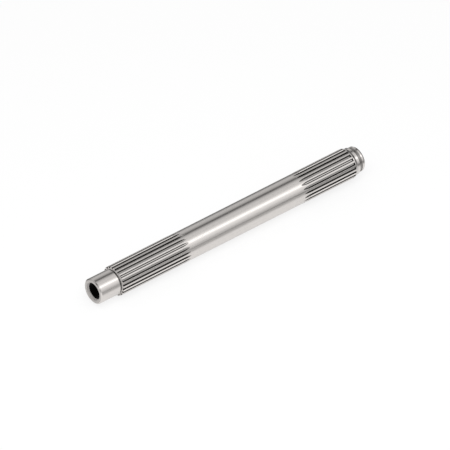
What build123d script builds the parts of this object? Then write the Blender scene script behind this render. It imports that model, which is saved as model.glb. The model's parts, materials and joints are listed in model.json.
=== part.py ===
from build123d import *
import os
from math import acos, cos, degrees, pi, radians, sin, tan

# Drum shaft: a hollow steel shaft turned from one bar, with an involute spline at each end of a
# plain middle. It lies along X as it comes to rest on a flat surface, on two neighbouring teeth
# of each spline, with its journal end towards -X. The origin is on that surface, below the
# middle of the shaft's length.

# Involute spline, the same on both splined lengths
module = 2.0
teeth = 21
pressure_angle = 30.0
tip_addendum = 0.5 * module  # from the pitch circle out to the tips
root_dedendum = 0.9 * module  # from the pitch circle in to the groove bottoms
tooth_chamfer = 0.5  # on the tooth ends at the shoulder
cutter_radius = 28.0  # disc cutter that leaves the curved run-outs
cutter_clearance = 1.0  # the cutter's flanks reach this far past the tips

# Diameters, as steps from the spline's tips and roots
body_relief = 0.2  # the middle and the collar are this far inside the tip circle
journal_relief = 0.2  # the journal clears the groove bottoms, so that a hub slides on over it
register_step = 2.2  # the register is this far inside the tip circle
tail_relief = 0.7  # the tail clears the groove bottoms by more than the journal
undercut_depth = 1.8
undercut_fillet = 0.8
ring_groove_depth = 1.5  # below the tail
bore_radius = 12.5
mouth_flare = 1.0  # the bore opens out by this much at both mouths
mouth_depth = 3.6
journal_chamfer_rise = 1.8  # radially, on the journal's end
journal_chamfer_length = 1.3  # along the shaft
tail_chamfer_rise = 1.2  # radially, on the tail's end
tail_chamfer_length = 2.1  # along the shaft

# Lengths, from the journal end to the tail end
journal_length = 33.7
undercut_width = 3.4
near_spline_length = 110.3  # at full depth, without the run-outs
body_length = 202.1  # of the plain middle, between the run-outs
far_spline_length = 80.2  # at full depth, without the run-outs
collar_length = 1.6
lead_angle = 27.5  # of the cone between the collar and the register
register_length = 4.0
ring_groove_width = 5.4
tail_length = 4.7

# Radii worked out from the values above
pitch_radius = module * teeth / 2
base_radius = pitch_radius * cos(radians(pressure_angle))
tip_radius = pitch_radius + tip_addendum
root_radius = pitch_radius - root_dedendum
body_radius = tip_radius - body_relief
journal_radius = root_radius - journal_relief
register_radius = tip_radius - register_step
tail_radius = root_radius - tail_relief
undercut_radius = journal_radius - undercut_depth
ring_groove_radius = tail_radius - ring_groove_depth
mouth_radius = bore_radius + mouth_flare
lead_length = (body_radius - register_radius) / tan(radians(lead_angle))
run_out_length = cutter_radius * sin(acos(1 - (body_radius - root_radius) / cutter_radius))

# Stations along the shaft, from the journal end
undercut_start = journal_length
shoulder = undercut_start + undercut_width
near_run_out = shoulder + near_spline_length
far_run_out = near_run_out + body_length + 2 * run_out_length
groove_wall = far_run_out + far_spline_length
lead_start = groove_wall + collar_length
register_start = lead_start + lead_length
ring_groove_start = register_start + register_length
tail_start = ring_groove_start + ring_groove_width
shaft_length = tail_start + tail_length


def involute(angle):
    """Involute function of an angle in radians."""
    return tan(angle) - angle


def groove_half_angle(radius):
    """Half the angle that one groove takes at a radius, from its involute flanks."""
    flank_angle = acos(base_radius / radius)
    return pi / (2 * teeth) - involute(radians(pressure_angle)) + involute(flank_angle)


def flank_point(radius, side):
    """Point of a groove's flank in the cutter's frame, where X is the way out of the shaft."""
    angle = side * groove_half_angle(radius)
    return (radius * cos(angle), radius * sin(angle))


# The lowest points are the inner corners of the two teeth beside the lowest groove
axis_height = tip_radius * cos(groove_half_angle(tip_radius))
near_end = Plane(origin=(-shaft_length / 2, 0, axis_height), x_dir=(1, 0, 0), z_dir=(0, -1, 0))
shaft_axis = Axis(near_end.origin, near_end.x_dir)


def groove_plane(station, direction):
    """Plane across the shaft, its X down to the lowest groove, its Z along the shaft."""
    return Plane(origin=near_end.from_local_coords((station, 0)), x_dir=(0, 0, -1), z_dir=direction)


def groove_cutter(straight_length):
    """What the cutter takes out of one groove: a straight run, then its own curve out."""
    top_radius = tip_radius + cutter_clearance
    mid_radius = (root_radius + top_radius) / 2
    cutter_centre = root_radius + cutter_radius
    run_out_turn = degrees(acos((cutter_centre - top_radius) / cutter_radius))
    with BuildPart() as cutter:
        with BuildSketch(Plane.XY) as section:
            with BuildLine():
                for side in (-1, 1):
                    ThreePointArc(*(flank_point(r, side) for r in (root_radius, mid_radius, top_radius)))
                for end_radius in (root_radius, top_radius):
                    Line(flank_point(end_radius, -1), flank_point(end_radius, 1))
            make_face()
        extrude(amount=straight_length)
        run_out_axis = Axis((cutter_centre, 0, straight_length), (0, 1, 0))
        revolve(section.face().moved(Location((0, 0, straight_length))), run_out_axis, run_out_turn)
    return cutter.part


near_cutter = groove_cutter(cutter_clearance + near_spline_length)
far_cutter = groove_cutter(far_spline_length)

with BuildPart() as drum_shaft:
    # Turned outside, with a rounded undercut before the shoulder
    with BuildSketch(near_end) as outside:
        with BuildLine():
            Polyline(
                (0, 0),
                (0, journal_radius - journal_chamfer_rise),
                (journal_chamfer_length, journal_radius),
                (undercut_start, journal_radius),
                (undercut_start, undercut_radius),
                (shoulder, undercut_radius),
                (shoulder, tip_radius - tooth_chamfer),
                (shoulder + tooth_chamfer, tip_radius),
                (near_run_out, tip_radius),
                (near_run_out + body_relief, body_radius),
                (far_run_out - body_relief, body_radius),
                (far_run_out, tip_radius),
                (groove_wall - body_relief, tip_radius),
                (groove_wall, body_radius),
                (lead_start, body_radius),
                (register_start, register_radius),
                (ring_groove_start, register_radius),
                (ring_groove_start, ring_groove_radius),
                (tail_start, ring_groove_radius),
                (tail_start, tail_radius),
                (shaft_length - tail_chamfer_length, tail_radius),
                (shaft_length, tail_radius - tail_chamfer_rise),
                (shaft_length, 0),
                close=True,
            )
        make_face()
        at_undercut = outside.vertices().filter_by_position(
            Axis.X, undercut_start - undercut_fillet, shoulder + undercut_fillet
        )
        fillet(at_undercut.group_by(Axis.Y)[0], undercut_fillet)
    revolve(axis=shaft_axis)

    # Bore right through, opened out at both mouths
    with BuildSketch(near_end):
        with BuildLine():
            Polyline(
                (0, 0),
                (0, mouth_radius),
                (mouth_depth, bore_radius),
                (shaft_length - mouth_depth, bore_radius),
                (shaft_length, mouth_radius),
                (shaft_length, 0),
                close=True,
            )
        make_face()
    revolve(axis=shaft_axis, mode=Mode.SUBTRACT)

    # Spline grooves: the near ones start open at the shoulder, the far ones at a square wall,
    # and both run out into the plain middle
    near_start = groove_plane(shoulder - cutter_clearance, (1, 0, 0))
    far_start = groove_plane(groove_wall, (-1, 0, 0))
    for start, cutter in ((near_start, near_cutter), (far_start, far_cutter)):
        with Locations(start):
            with PolarLocations(0, teeth):
                add(cutter, mode=Mode.SUBTRACT)

os.makedirs("parts", exist_ok=True)
drum_shaft.part.label = "drum_shaft"
export_step(drum_shaft.part, "parts/drum_shaft.step")
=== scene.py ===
import json
from math import acos, atan2, cos, hypot, pi, radians, sin, sqrt, tan

import bmesh
import bpy
from bpy.props import FloatProperty, FloatVectorProperty, IntProperty, PointerProperty
from bpy.types import Operator, Panel, PropertyGroup
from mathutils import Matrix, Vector


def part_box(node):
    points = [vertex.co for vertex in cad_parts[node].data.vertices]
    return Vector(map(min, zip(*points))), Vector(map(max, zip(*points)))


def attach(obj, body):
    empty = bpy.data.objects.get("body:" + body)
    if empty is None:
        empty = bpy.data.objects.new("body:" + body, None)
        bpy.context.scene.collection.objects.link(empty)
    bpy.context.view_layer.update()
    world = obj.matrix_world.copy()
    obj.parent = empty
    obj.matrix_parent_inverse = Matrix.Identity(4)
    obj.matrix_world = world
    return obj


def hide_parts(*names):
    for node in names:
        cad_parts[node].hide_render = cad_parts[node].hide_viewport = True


bl_info = {
    "name": "Drum Shaft",
    "version": (1, 0, 0),
    "blender": (4, 5, 0),
    "location": "View3D > Sidebar > Drum Shaft",
    "description": "Models a hollow splined drum shaft, finishes it in turned steel and sets its stage",
    "category": "Add Mesh",
}

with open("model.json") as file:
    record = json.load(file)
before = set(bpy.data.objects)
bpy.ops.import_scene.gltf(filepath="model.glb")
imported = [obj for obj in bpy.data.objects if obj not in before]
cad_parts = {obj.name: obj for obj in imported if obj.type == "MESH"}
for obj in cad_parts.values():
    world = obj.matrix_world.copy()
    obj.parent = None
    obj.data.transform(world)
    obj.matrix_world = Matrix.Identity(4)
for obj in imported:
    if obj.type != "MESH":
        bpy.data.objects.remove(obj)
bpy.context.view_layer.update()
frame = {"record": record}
mm = 0.001

# The record's mounts give most of the shaft's sizes
mounts = {mount["name"]: mount for mount in frame["record"]["mounts"]}


def mount_radius(name):
    """Radius of a round mount, in metres."""
    return mounts[name]["dims"]["r_mm"] * mm


def mount_span(name):
    """Both ends of a round mount along the shaft, in metres."""
    middle, half = mounts[name]["pos_m"][0], mounts[name]["dims"]["length_mm"] * mm / 2
    return middle - half, middle + half


axis_height = mounts["bore"]["pos_m"][2]
near_face, far_face = (corner.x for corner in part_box("drum_shaft"))
merge_distance = 0.001 * mm
fillet_segments = 5
smooth_below = radians(24)  # sharper edges stay sharp


def length_property(name, description, default):
    """A size of a few millimetres, shown to a hundredth."""
    return FloatProperty(name=name, description=description, default=default, unit="LENGTH", precision=5)


def share_property(name, description, default):
    """A share, from none to all."""
    return FloatProperty(name=name, description=description, default=default, subtype="FACTOR", min=0, max=1)


def colour_property(name, description, default):
    """A colour, in linear light."""
    return FloatVectorProperty(name=name, description=description, default=default, subtype="COLOR", min=0, max=1)


class ShaftSizes(PropertyGroup):
    """Sizes of the shaft that the frame's record doesn't give."""

    teeth: IntProperty(name="Teeth", description="Teeth round each spline", default=21, min=6)
    module: length_property("Module", "Pitch diameter for each tooth", 2.0 * mm)
    pressure_angle: FloatProperty(
        name="Pressure angle", description="Of the involute flanks", default=radians(30), subtype="ANGLE"
    )
    root_depth: length_property("Root depth", "From the pitch circle to a groove's bottom", 1.8 * mm)
    root_fillet: length_property("Root fillet", "Between a groove's bottom and its flanks", 0.35 * mm)
    tooth_edge: length_property("Tooth edge", "Taken off the long edges of the teeth", 0.08 * mm)
    tooth_chamfer: length_property("Tooth end chamfer", "On the tooth ends at the shoulder", 0.5 * mm)
    cutter_radius: length_property("Cutter radius", "Of the cutter that left the run-outs", 28 * mm)
    body_relief: length_property("Body relief", "Step from the tooth tips to the plain middle", 0.2 * mm)
    mouth_flare: length_property("Mouth flare", "How much the bore opens out at its mouths", 1.4 * mm)
    journal_chamfer_rise: length_property("Journal chamfer rise", "Radial height at the near end", 1.8 * mm)
    tail_radius: length_property("Tail radius", "Of the short end past the ring groove", 18.5 * mm)
    tail_chamfer_rise: length_property("Tail chamfer rise", "Radial height at the far end", 1.2 * mm)
    tail_chamfer_length: length_property("Tail chamfer length", "Along the shaft", 2.1 * mm)
    undercut_depth: length_property("Undercut depth", "Between journal and shoulder", 1.8 * mm)
    undercut_fillet: length_property("Undercut fillet", "In both corners of the undercut", 0.8 * mm)
    collar_length: length_property("Collar length", "From the far grooves to the lead cone", 1.6 * mm)
    ring_groove_fillet: length_property("Ring groove fillet", "In both corners of the ring groove", 0.8 * mm)
    edge_break: length_property("Edge break", "Small chamfer on turned edges", 0.2 * mm)
    row_spacing: length_property("Row spacing", "Longest face along the shaft", 12 * mm)
    run_out_rows: IntProperty(name="Run-out rows", description="Faces along each run-out", default=14, min=4)


class SteelFinish(PropertyGroup):
    """Colours and roughness of the steel, and how much painted shade darkens its grooves, corners and faces."""

    steel: colour_property("Steel", "Colour of the turned steel", (0.68, 0.65, 0.627))
    # Painted shade: the bore is coloured near black for the unlit inside of the tube, not for a skin on the steel
    bore: colour_property("Bore", "Colour of the dark skin in the bore", (0.002, 0.002, 0.002))
    # Painted shade: this near-black colour is mixed into the grooves, the undercut, the ring groove, the lead cone, the
    # end faces and the mouths, where they should look shaded
    painted_shade: colour_property("Film", "Colour of the dark film in sheltered places", (0.012, 0.012, 0.011))
    roughness: share_property("Roughness", "Of the turned surfaces", 0.16)
    # How strongly the painted shade darkens each place
    flank_painted_shade: share_property("Flank film", "On the flanks of the spline grooves", 0.98)
    floor_painted_shade: share_property("Floor film", "Along the middle of the spline grooves", 0.36)
    undercut_painted_shade: share_property("Undercut film", "In the undercut", 0.85)
    ring_painted_shade: share_property("Ring groove film", "In the ring groove", 0.6)
    lead_painted_shade: share_property("Lead film", "On the lead cone", 0.3)
    face_painted_shade: share_property("Face film", "On the end faces and in the bore's mouths", 0.32)


class StageLook(PropertyGroup):
    """Camera, light and floor."""

    azimuth: FloatProperty(
        name="Azimuth", description="Camera's turn round the shaft", default=radians(-39.85), subtype="ANGLE"
    )
    elevation: FloatProperty(
        name="Elevation", description="Camera's height above the floor", default=radians(37.25), subtype="ANGLE"
    )
    view_width: FloatProperty(
        name="View width", description="Width of the picture at the shaft", default=0.61875, unit="LENGTH"
    )
    lamp_watts: FloatProperty(name="Lamp power", description="Of the overhead light", default=11, unit="POWER")
    lamp_width: FloatProperty(name="Lamp width", description="Of the overhead light", default=1.4, unit="LENGTH")
    even_light: share_property("Even light", "Brightness of the tent on the floor", 0.68)
    floor_radius: FloatProperty(name="Floor radius", description="Of the round floor", default=4, unit="LENGTH")


class Groove:
    """Section of a spline groove, and how it rises where its cutter leaves the shaft."""

    def __init__(self, sizes):
        pitch_radius = sizes.module * sizes.teeth / 2
        self.half_pitch = pi / sizes.teeth
        self.half_space = pi / (2 * sizes.teeth) - tan(sizes.pressure_angle) + sizes.pressure_angle
        self.base_radius = pitch_radius * cos(sizes.pressure_angle)
        self.root_radius = pitch_radius - sizes.root_depth
        self.tip_radius = mount_radius("near_spline")
        self.body_radius = self.tip_radius - sizes.body_relief
        self.cutter_centre = self.root_radius + sizes.cutter_radius
        self.tooth_edge = sizes.tooth_edge
        self.points = self.section(sizes.root_fillet)
        self.distances = [0.0]
        for before, after in zip(self.points, self.points[1:]):
            self.distances.append(self.distances[-1] + (after - before).length)
        floor_drop = self.cutter_centre - self.points[0].x
        self.run_out = sqrt(floor_drop**2 - (self.cutter_centre - self.body_radius) ** 2)

    def flank(self, radius):
        """Point of the involute flank: its height from the axis and its offset to the side."""
        turn = acos(self.base_radius / radius)
        angle = self.half_space + tan(turn) - turn
        return Vector((radius * cos(angle), radius * sin(angle)))

    def section(self, fillet, arc_steps=8, flank_steps=60):
        """Half of the section, from the middle of the floor to past the tip."""
        corner = self.flank(self.root_radius)
        rise = (self.flank(self.root_radius + fillet) - corner).normalized()
        reach = fillet / tan(acos(-rise.y) / 2)
        floor_end, flank_start = corner - Vector((0, reach)), corner + rise * reach
        points = [Vector((corner.x, 0))]
        for step in range(arc_steps + 1):
            share = step / arc_steps
            points.append(floor_end.lerp(corner, share).lerp(corner.lerp(flank_start, share), share))
        start, stop = flank_start.length, self.tip_radius + fillet
        points += [self.flank(start + (stop - start) * step / flank_steps) for step in range(1, flank_steps + 1)]
        return points

    def lifted(self, distance, lift):
        """Point this far along the section, where the cutter is this far past the full depth."""
        index = 1
        while self.distances[index] < distance and index < len(self.distances) - 1:
            index += 1
        before, after = self.distances[index - 1], self.distances[index]
        height, side = self.points[index - 1].lerp(self.points[index], (distance - before) / (after - before))
        drop = self.cutter_centre - height
        return Vector((self.cutter_centre - sqrt(drop**2 - lift**2), side))

    def edge(self, radius, lift, halvings=40):
        """Distance along the section at which it comes out of a blank of this radius."""
        low, high = 0.0, self.distances[-1]
        for _ in range(halvings):
            middle = (low + high) / 2
            if self.lifted(middle, lift).length < radius:
                low = middle
            else:
                high = middle
        return low

    # Shares of the groove's half width and of the land's, at which the mesh has its columns
    groove_columns = (0, 0.06, 0.11, 0.15, 0.19, 0.23, 0.42, 0.61, 0.8, 1)
    land_columns = (0, 0.33, 0.67, 1)

    def row(self, radius, lift, blank=None):
        """Points across one pitch of a blank of this radius, or of an uncut blank with like columns."""
        edge = self.edge(radius, lift)
        half = [self.lifted((edge - self.tooth_edge) * share, lift) for share in self.groove_columns]
        corner = self.lifted(edge, lift)
        start = atan2(corner.y, corner.x) + self.tooth_edge / radius
        for share in self.land_columns:
            angle = start + (self.half_pitch - start) * share
            half.append(Vector((radius * cos(angle), radius * sin(angle))))
        if blank is not None:
            half = [point * (blank / point.length) for point in half]
        return [Vector((point.x, -point.y)) for point in reversed(half[1:])] + half


def stations(start, stop, spacing):
    """Places from start to stop, no further apart than the spacing."""
    count = max(1, round(abs(stop - start) / spacing + 0.5))
    return [start + (stop - start) * step / count for step in range(count + 1)]


def shaft_rows(sizes, groove):
    """Rows of the shaft's surface over one pitch, from the near mouth outside to the far one and back inside."""
    journal, register = mount_radius("journal"), mount_radius("register")
    undercut = journal - sizes.undercut_depth
    bore, mouth = mount_radius("bore"), mount_radius("bore") + sizes.mouth_flare
    chamfered, undercut_start = mount_span("journal")
    shoulder, near_run_out = mount_span("near_spline")
    far_run_out, wall = mount_span("far_spline")
    register_start, ring_start = mount_span("register")
    tail_start = mount_span("ring_groove")[1]
    tail, tail_end = sizes.tail_radius, far_face - sizes.tail_chamfer_length
    deep, faint = (groove.tip_radius, 0), (groove.body_radius, groove.run_out)

    rows = []

    def turn(like, *places):
        rows.extend((x, groove.row(*like, blank=radius)) for x, radius in places)

    def cut(*places):
        rows.extend((x, groove.row(radius, lift)) for x, radius, lift in places)

    turn(deep, (near_face, mouth), (near_face, journal - sizes.journal_chamfer_rise))
    turn(deep, *((x, journal) for x in stations(chamfered, undercut_start, sizes.row_spacing)))
    turn(deep, (undercut_start, undercut), (shoulder, undercut), (shoulder, journal))
    cut((shoulder, groove.tip_radius - sizes.tooth_chamfer, 0))
    teeth_start = shoulder + sizes.tooth_chamfer
    cut(*((x, groove.tip_radius, 0) for x in stations(teeth_start, near_run_out, sizes.row_spacing)))
    lifts = stations(sizes.body_relief, groove.run_out, groove.run_out / sizes.run_out_rows)
    cut(*((near_run_out + lift, groove.body_radius, lift) for lift in lifts))
    middle = stations(near_run_out + groove.run_out, far_run_out - groove.run_out, sizes.row_spacing)
    turn(faint, *((x, groove.body_radius) for x in middle[1:-1]))
    cut(*((far_run_out - lift, groove.body_radius, lift) for lift in reversed(lifts)))
    teeth_end = wall - sizes.body_relief
    cut(*((x, groove.tip_radius, 0) for x in stations(far_run_out, teeth_end, sizes.row_spacing)))
    cut((wall, groove.body_radius, 0))
    turn(deep, (wall, groove.body_radius), (wall + sizes.collar_length, groove.body_radius))
    turn(deep, (register_start, register), (ring_start, register))
    turn(deep, (ring_start, mount_radius("ring_groove")), (tail_start, mount_radius("ring_groove")))
    turn(deep, (tail_start, tail), (tail_end, tail))
    turn(deep, (far_face, tail - sizes.tail_chamfer_rise), (far_face, mouth))
    bore_start, bore_end = mount_span("bore")
    turn(deep, *((x, bore) for x in stations(bore_end, bore_start, 4 * sizes.row_spacing)))
    turn(deep, (near_face, mouth))
    return rows


def at_row(point, x):
    """Place in the frame of a point given as height from the axis and offset to the side."""
    return Vector((x, point.y, axis_height - point.x))


def angle_round(vertex):
    """A vertex's angle round the shaft, from straight down."""
    return atan2(vertex.co.y, axis_height - vertex.co.z)


def radius_of(vertex):
    """A vertex's distance from the shaft's axis."""
    return hypot(vertex.co.y, vertex.co.z - axis_height)


def extrude_strip(rows):
    """Mesh of one pitch of the shaft: a grid's last edges are extruded from row to row."""
    columns = len(rows[0][1])
    bpy.ops.mesh.primitive_grid_add(x_subdivisions=columns - 1, y_subdivisions=1, size=2, enter_editmode=True)
    mesh = bpy.context.object.data
    bm = bmesh.from_edit_mesh(mesh)
    by_row = sorted(bm.verts, key=lambda vertex: (round(vertex.co.y), vertex.co.x))
    for vertex, (x, point) in zip(by_row, [(x, point) for x, row in rows[:2] for point in row]):
        vertex.co = at_row(point, x)
    bpy.ops.mesh.select_all(action="DESELECT")
    for vertex in by_row[columns:]:
        vertex.select = True
    bm.select_flush(True)
    bmesh.update_edit_mesh(mesh)
    for x, row in rows[2:]:
        bpy.ops.mesh.extrude_edges_indiv()
        bm = bmesh.from_edit_mesh(mesh)
        new_row = sorted((vertex for vertex in bm.verts if vertex.select), key=angle_round)
        for vertex, point in zip(new_row, row):
            vertex.co = at_row(point, x)
        bmesh.update_edit_mesh(mesh)


def select_ring(mesh, x, radius, tolerance=merge_distance):
    """Selects the edges that run round the shaft at a place and radius."""
    bpy.ops.mesh.select_all(action="DESELECT")
    bm = bmesh.from_edit_mesh(mesh)
    for edge in bm.edges:
        edge.select = all(
            abs(vertex.co.x - x) < tolerance and abs(radius_of(vertex) - radius) < tolerance for vertex in edge.verts
        )
    bmesh.update_edit_mesh(mesh)


def deselect_all():
    """Leaves no object selected, so that an operator acts on the new piece alone."""
    for obj in bpy.context.selected_objects:
        obj.select_set(False)


class DRUMSHAFT_OT_shaft(Operator):
    """Model the shaft: one pitch of it, copied round the axis for every tooth"""

    bl_idname = "drumshaft.shaft"
    bl_label = "Add Shaft"

    def execute(self, context):
        sizes = context.scene.drumshaft_sizes
        groove = Groove(sizes)
        deselect_all()
        extrude_strip(shaft_rows(sizes, groove))
        shaft = context.object
        bpy.ops.mesh.select_all(action="SELECT")
        copies = sizes.teeth - 1
        bpy.ops.mesh.spin(
            steps=copies, dupli=True, angle=2 * groove.half_pitch * copies, center=(0, 0, axis_height), axis=(1, 0, 0)
        )
        bpy.ops.mesh.select_all(action="SELECT")
        bpy.ops.mesh.remove_doubles(threshold=merge_distance)
        bpy.ops.mesh.normals_make_consistent(inside=False)
        self.break_edges(shaft.data, sizes)
        bpy.ops.object.mode_set(mode="OBJECT")
        bpy.ops.object.shade_smooth_by_angle(angle=smooth_below)
        shaft.name = shaft.data.name = "splined_shaft"
        shaft.data.materials.append(turned_steel(sizes, groove, context.scene.drumshaft_finish))
        shaft.visible_glossy = False  # the steel mirrors the tent and the floor, and not itself
        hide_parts("drum_shaft")
        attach(shaft, "root")
        return {"FINISHED"}

    def break_edges(self, mesh, sizes):
        """Fillets of the undercut and the ring groove, and the small chamfers on turned edges."""
        journal = mount_radius("journal")
        undercut_start, shoulder = mount_span("journal")[1], mount_span("near_spline")[0]
        undercut = journal - sizes.undercut_depth
        for x in (undercut_start, shoulder):
            select_ring(mesh, x, undercut)
            bpy.ops.mesh.bevel(offset=sizes.undercut_fillet, segments=fillet_segments, affect="EDGES")
        bore, mouth = mount_radius("bore"), mount_radius("bore") + sizes.mouth_flare
        for x in mount_span("bore"):
            select_ring(mesh, x, bore)
            bpy.ops.mesh.mark_sharp()
        ring_start, tail_start = mount_span("ring_groove")
        for x in (ring_start, tail_start):
            select_ring(mesh, x, mount_radius("ring_groove"))
            bpy.ops.mesh.bevel(offset=sizes.ring_groove_fillet, segments=fillet_segments, affect="EDGES")
        turned_edges = [
            (undercut_start, journal),
            (ring_start, mount_radius("register")),
            (tail_start, sizes.tail_radius),
            (near_face, mouth),
            (far_face, mouth),
            (near_face, journal - sizes.journal_chamfer_rise),
            (far_face, sizes.tail_radius - sizes.tail_chamfer_rise),
        ]
        for x, radius in turned_edges:
            select_ring(mesh, x, radius)
            bpy.ops.mesh.bevel(offset=sizes.edge_break, segments=1, affect="EDGES")


class Term:
    """A socket in shader maths: the usual signs add Math nodes."""

    def __init__(self, shader, socket):
        self.shader = shader
        self.socket = socket

    def math(self, operation, *values):
        """This term and the values, through one Math node."""
        inputs = dict(enumerate((self, *values)))
        return self.shader.node("ShaderNodeMath", {"operation": operation}, inputs)

    def __add__(self, other):
        return self.math("ADD", other)

    def __sub__(self, other):
        return self.math("SUBTRACT", other)

    def __mul__(self, other):
        return self.math("MULTIPLY", other)

    def __truediv__(self, other):
        return self.math("DIVIDE", other)

    def __pow__(self, other):
        return self.math("POWER", other)

    def __rsub__(self, other):
        return self * -1 + other

    def __gt__(self, other):
        return self.math("GREATER_THAN", other)

    def __lt__(self, other):
        return self.math("LESS_THAN", other)

    def __abs__(self):
        return self.math("ABSOLUTE")

    __radd__ = __add__
    __rmul__ = __mul__


class Shader:
    """Nodes of one material or world."""

    def __init__(self, owner):
        owner.use_nodes = True
        self.tree = owner.node_tree
        self.tree.nodes.clear()

    def node(self, kind, settings=None, inputs=None, output=0):
        """Adds a node, sets it up, gives its sockets values or links, and returns one output."""
        node = self.tree.nodes.new(kind)
        for name, value in (settings or {}).items():
            if name == "stops":
                self.set_stops(node.color_ramp, value)
            else:
                setattr(node, name, value)
        for name, value in (inputs or {}).items():
            if isinstance(value, Term):
                self.tree.links.new(value.socket, node.inputs[name])
            else:
                node.inputs[name].default_value = value
        return Term(self, node.outputs[output]) if len(node.outputs) else node

    @staticmethod
    def set_stops(ramp, stops):
        """A ramp's stops, each a place and a grey."""
        while len(ramp.elements) < len(stops):
            ramp.elements.new(0.5)
        for element, (place, tone) in zip(ramp.elements, stops):
            element.position = place
            element.color = (tone, tone, tone, 1)

    def parts(self, vector):
        """The three numbers of a vector."""
        first = self.node("ShaderNodeSeparateXYZ", inputs={"Vector": vector})
        outputs = first.socket.node.outputs
        return [Term(self, outputs[name]) for name in "XYZ"]

    def rays(self):
        """Whether the ray comes from the camera, and whether from something glossy."""
        outputs = self.node("ShaderNodeLightPath").socket.node.outputs
        return Term(self, outputs["Is Camera Ray"]), Term(self, outputs["Is Glossy Ray"])

    def vector(self, x, y, z):
        """A vector from three numbers."""
        return self.node("ShaderNodeCombineXYZ", inputs={"X": x, "Y": y, "Z": z})

    def noise(self, vector, scale, detail):
        """Noise between about 0.2 and 0.8."""
        return self.node("ShaderNodeTexNoise", inputs={"Vector": vector, "Scale": scale, "Detail": detail})

    def ramp(self, value, start, stop):
        """Rises from 0 to 1 as the value goes from start to stop."""
        names = {"Value": value, 1: start, 2: stop, 3: 0.0, 4: 1.0}
        return self.node("ShaderNodeMapRange", {"interpolation_type": "SMOOTHSTEP"}, names)

    def blend(self, factor, first, second):
        """A colour between two colours."""
        return self.node("ShaderNodeMix", {"data_type": "RGBA"}, {"Factor": factor, 6: first, 7: second}, output=2)


# How far a mask of the finish reaches past the faces that it is for, and past the bore's wall
skin, bore_skin = 0.02 * mm, 0.05 * mm

# The painted shade in the spline grooves: the half width of the thin strip along a groove's middle where it is weaker,
# how far below the tips it starts, what of a run-out is too shallow for it, and half the share of a pitch
# that it darkens as a painted shadow on the far grooves' wall
strip_half_width, strip_blur = 0.6 * mm, 0.15 * mm
painted_shade_start, painted_shade_full = 0.35 * mm, 0.6 * mm
shallow_end = 1 * mm
wall_start, wall_end = 0.5 * mm, 0.6 * mm
wall_half_share, wall_blur = 0.33, 0.03

# Below the upper edges of the undercut and the ring groove, where their painted shade stops
undercut_rim, ring_rim = 1 * mm, 0.2 * mm


def between(value, low, high):
    """1 where a term lies between two values, 0 elsewhere."""
    return (value > low) * (value < high)


def in_ring_groove(x):
    """1 along the ring groove, with the wall at its far side."""
    start, end = mount_span("ring_groove")
    return between(x, start + skin, end + skin)


def on_end_face(x):
    """1 on both end faces."""
    return abs(x) > far_face - skin


def in_mouth(radius, sizes):
    """1 on the flare of both of the bore's mouths."""
    start = mount_radius("bore") + bore_skin
    return between(radius, start, start + sizes.mouth_flare)


def groove_painted_shade(shader, place, sizes, groove, finish):
    """Painted shade in the spline grooves, weaker along their middles, and a painted shadow on the wall that ends the
    far ones.
    """
    x, y, up, radius = place
    shoulder, near_end = mount_span("near_spline")
    far_start, wall = mount_span("far_spline")
    pitch = 2 * pi / sizes.teeth
    pitches = y.math("ARCTAN2", up * -1) / pitch
    off_middle = abs(pitches - pitches.math("ROUND"))
    width = off_middle * pitch * radius
    strip = shader.ramp(width, strip_half_width + strip_blur, strip_half_width - strip_blur)
    run_out = groove.run_out - shallow_end
    plain = between(x, near_end + run_out, far_start - run_out)
    splined = between(x, shoulder + skin, wall + skin) * (1 - plain)
    under_tips = shader.ramp(radius, groove.tip_radius - painted_shade_start, groove.tip_radius - painted_shade_full)
    share = finish.flank_painted_shade - (finish.flank_painted_shade - finish.floor_painted_shade) * strip
    # Painted shadow on the square wall that ends the far grooves
    wall_painted_shadow = between(x, wall - wall_start, wall + wall_end) * (radius > mount_radius("ring_groove"))
    below_tips = shader.ramp(off_middle, wall_half_share + wall_blur, wall_half_share - wall_blur)
    return splined * under_tips * share + wall_painted_shadow * below_tips


def painted_shade_amount(shader, place, sizes, groove, finish):
    """How much painted shade darkens a place, given by its x, y, height over the axis and radius."""
    x, _, _, radius = place
    shoulder, wall = mount_span("near_spline")[0], mount_span("far_spline")[1]
    undercut = between(x, mount_span("journal")[1] + skin, shoulder - skin)
    undercut *= radius < mount_radius("journal") - undercut_rim
    ring_bottom = in_ring_groove(x) * (radius < sizes.tail_radius - ring_rim)
    lead = between(x, wall + sizes.collar_length - skin, mount_span("register")[0])
    painted_shade = groove_painted_shade(shader, place, sizes, groove, finish)
    # Painted shade in the undercut, at the ring groove's bottom, on the lead cone, and on the end faces and the mouths'
    # flares
    painted_shade += undercut * finish.undercut_painted_shade + ring_bottom * finish.ring_painted_shade + lead * finish.lead_painted_shade
    return painted_shade + (on_end_face(x) + in_mouth(radius, sizes)) * finish.face_painted_shade


# Turning and facing marks, as noise cells to the metre across them and along them
marks_across, marks_along = 6000, 40
mark_depth = 0.02 * mm

# Long smears along the shaft, and mottling all over
smear_along, smear_across, mottle_scale = 25, 140, 90


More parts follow.
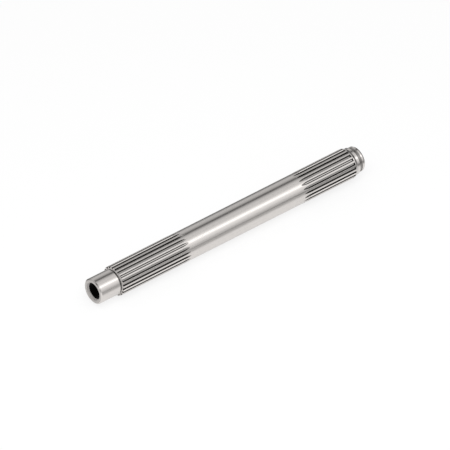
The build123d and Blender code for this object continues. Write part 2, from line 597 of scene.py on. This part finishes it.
def turned_steel(sizes, groove, finish):
    """Satin steel with the marks of its making: turned, faced, hobbed and drilled; painted shade darkens its grooves,
    corners, faces and bore.
    """
    material = bpy.data.materials.new("turned_steel_finish")
    shader = Shader(material)
    x, y, z = shader.parts(shader.node("ShaderNodeTexCoord", output=3))
    up = z - axis_height
    radius = (y * y + up * up) ** 0.5

    in_bore = radius < mount_radius("bore") + bore_skin
    shoulder = mount_span("near_spline")[0]
    matte = in_mouth(radius, sizes) + between(x, shoulder - skin, shoulder + skin)
    painted_shade = painted_shade_amount(shader, (x, y, up, radius), sizes, groove, finish)

    turned = shader.noise(shader.vector(x * marks_across, y * marks_along, up * marks_along), 1, 1)
    faced = shader.noise(shader.vector(radius * marks_across, x, 0), 1, 1)
    lines = turned + (faced - turned) * on_end_face(x)
    mottle = shader.noise(shader.vector(x, y, up), mottle_scale, 3)
    smear = shader.noise(shader.vector(x * smear_along, y * smear_across, up * smear_across), 1, 3)

    # Painted shade: the bore coloured near black, then the painted shade colour mixed in by its amount
    tone = shader.blend(in_bore, (*finish.steel, 1), (*finish.bore, 1))
    tone = shader.blend(painted_shade, tone, (*finish.painted_shade, 1))
    shade = 1 + (mottle - 0.5) * 0.06 + (lines - 0.5) * 0.05
    colour = shader.node("ShaderNodeVectorMath", {"operation": "SCALE"}, {0: tone, "Scale": shade})
    rough = finish.roughness + (lines - 0.5) * 0.06 + (smear - 0.5) * 0.08
    rough += in_bore * 0.5 + in_ring_groove(x) * (radius < sizes.tail_radius + skin) * 0.15 + matte * 0.4
    bump = shader.node("ShaderNodeBump", inputs={"Strength": 0.15, "Distance": mark_depth, "Height": lines})
    inputs = {"Base Color": colour, "Metallic": 1 - matte * 0.8, "Roughness": rough, "Normal": bump}
    principled = shader.node("ShaderNodeBsdfPrincipled", inputs=inputs)
    shader.node("ShaderNodeOutputMaterial", inputs={"Surface": principled})
    return material


# What the steel mirrors of the floor: it is darker from here to there out to the sides, and past the tail
floor_dark_sides, floor_dark_tail = (0.04, 0.12), (0.26, 0.32)


def floor_paint():
    """Pale floor that keeps the shaft's shadow, and that the shaft mirrors only close by."""
    material = bpy.data.materials.new("floor_paint")
    shader = Shader(material)
    x, y, _ = shader.parts(shader.node("ShaderNodeTexCoord", output=3))
    camera, glossy = shader.rays()
    far = shader.ramp(abs(y), *floor_dark_sides)
    past_tail = shader.ramp(x, *floor_dark_tail)
    grey = (1 - glossy * far * (0.45 + 0.3 * (y > 0))) * (1 - 0.6 * glossy * past_tail)
    tone = shader.vector(grey, grey, grey)
    matt = shader.node("ShaderNodeBsdfDiffuse", inputs={"Color": tone})
    glow = shader.node("ShaderNodeEmission", inputs={"Color": tone, "Strength": 1.0})
    share = camera * 0.8 + glossy * (0.5 + 0.5 * far)
    mixed = shader.node("ShaderNodeMixShader", inputs={"Fac": share, 1: matt, 2: glow})
    shader.node("ShaderNodeOutputMaterial", inputs={"Surface": mixed})
    return material


# Brightness of the light tent by angle round the shaft's line, as a share of a turn from +Y over the top
tent_tones = (
    (0.000, 0.42), (0.070, 0.72), (0.130, 0.52), (0.171, 0.05), (0.208, 0.58), (0.252, 0.83), (0.300, 0.83),
    (0.336, 1.25), (0.361, 1.95), (0.396, 1.10), (0.436, 0.95), (0.478, 0.67), (0.511, 0.45), (0.60, 0.6), (0.95, 0.25),
)


def light_tent(world, even_light):
    """World that the camera sees white, the metal as a studio tent, and the floor as even light."""
    shader = Shader(world)
    x, y, z = shader.parts(shader.node("ShaderNodeTexCoord", output=0))
    turn = (z.math("ARCTAN2", y) / (2 * pi)).math("FRACT")
    tent = shader.node("ShaderNodeValToRGB", {"stops": tent_tones}, {"Fac": turn})
    ends = 1 - 0.55 * shader.ramp(x, 0.6, 0.8) - 0.2 * shader.ramp(x, -0.6, -0.8)
    tent = shader.node("ShaderNodeVectorMath", {"operation": "SCALE"}, {0: tent, "Scale": ends})
    camera, glossy = shader.rays()
    even = shader.blend(camera, (even_light, even_light, even_light, 1), (1, 1, 1, 1))
    seen = shader.blend(glossy, even, tent)
    light = shader.node("ShaderNodeBackground", inputs={"Color": seen, "Strength": 1.0})
    shader.node("ShaderNodeOutputWorld", inputs={"Surface": light})


def add_floor(radius):
    """The floor, a large disc."""
    bpy.ops.mesh.primitive_circle_add(vertices=96, radius=radius, fill_type="NGON")
    floor = bpy.context.object
    floor.name = "floor"
    floor.data.materials.append(floor_paint())


def add_lamp(place, width, watts):
    """A wide soft light that looks at the shaft, and that the steel doesn't mirror."""
    bpy.ops.object.light_add(type="AREA", location=place)
    lamp = bpy.context.object
    lamp.name = "overhead_light"
    lamp.data.shape = "DISK"
    lamp.data.size = width
    lamp.data.energy = watts
    lamp.rotation_euler = (-Vector(place)).to_track_quat("-Z", "Y").to_euler()
    lamp.visible_glossy = False


def add_camera(look, distance=1.2):
    """The camera, with no perspective, turned as the stage says."""
    back = Vector((
        sin(look.azimuth) * cos(look.elevation),
        -cos(look.azimuth) * cos(look.elevation),
        sin(look.elevation),
    ))
    bpy.ops.object.camera_add(location=Vector((0, 0, axis_height)) + back * distance)
    camera = bpy.context.object
    camera.name = "camera"
    camera.rotation_euler = (-back).to_track_quat("-Z", "Y").to_euler()
    camera.data.type = "ORTHO"
    camera.data.ortho_scale = look.view_width
    bpy.context.scene.camera = camera


class DRUMSHAFT_OT_stage(Operator):
    """Add the floor, the light and the camera"""

    bl_idname = "drumshaft.stage"
    bl_label = "Add Stage"

    def execute(self, context):
        look = context.scene.drumshaft_stage
        deselect_all()
        add_floor(look.floor_radius)
        add_lamp((-0.3, -0.5, 1.4), look.lamp_width, look.lamp_watts)
        world = bpy.data.worlds.new("light_tent")
        context.scene.world = world
        light_tent(world, look.even_light)
        add_camera(look)
        context.scene.view_settings.view_transform = "Standard"
        return {"FINISHED"}


class DRUMSHAFT_PT_panel(Panel):
    """Everything that the drum shaft is made with"""

    bl_idname = "DRUMSHAFT_PT_panel"
    bl_label = "Drum Shaft"
    bl_space_type = "VIEW_3D"
    bl_region_type = "UI"
    bl_category = "Drum Shaft"

    def draw(self, context):
        for settings in (context.scene.drumshaft_sizes, context.scene.drumshaft_finish, context.scene.drumshaft_stage):
            box = self.layout.box()
            for name in settings.__annotations__:
                box.prop(settings, name)
        self.layout.operator(DRUMSHAFT_OT_shaft.bl_idname)
        self.layout.operator(DRUMSHAFT_OT_stage.bl_idname)


classes = (ShaftSizes, SteelFinish, StageLook, DRUMSHAFT_OT_shaft, DRUMSHAFT_OT_stage, DRUMSHAFT_PT_panel)


def register():
    for cls in classes:
        bpy.utils.register_class(cls)
    bpy.types.Scene.drumshaft_sizes = PointerProperty(type=ShaftSizes)
    bpy.types.Scene.drumshaft_finish = PointerProperty(type=SteelFinish)
    bpy.types.Scene.drumshaft_stage = PointerProperty(type=StageLook)


def unregister():
    del bpy.types.Scene.drumshaft_stage
    del bpy.types.Scene.drumshaft_finish
    del bpy.types.Scene.drumshaft_sizes
    for cls in reversed(classes):
        bpy.utils.unregister_class(cls)


def main():
    register()
    bpy.ops.drumshaft.stage()
    bpy.ops.drumshaft.shaft()


if __name__ == "__main__":
    main()
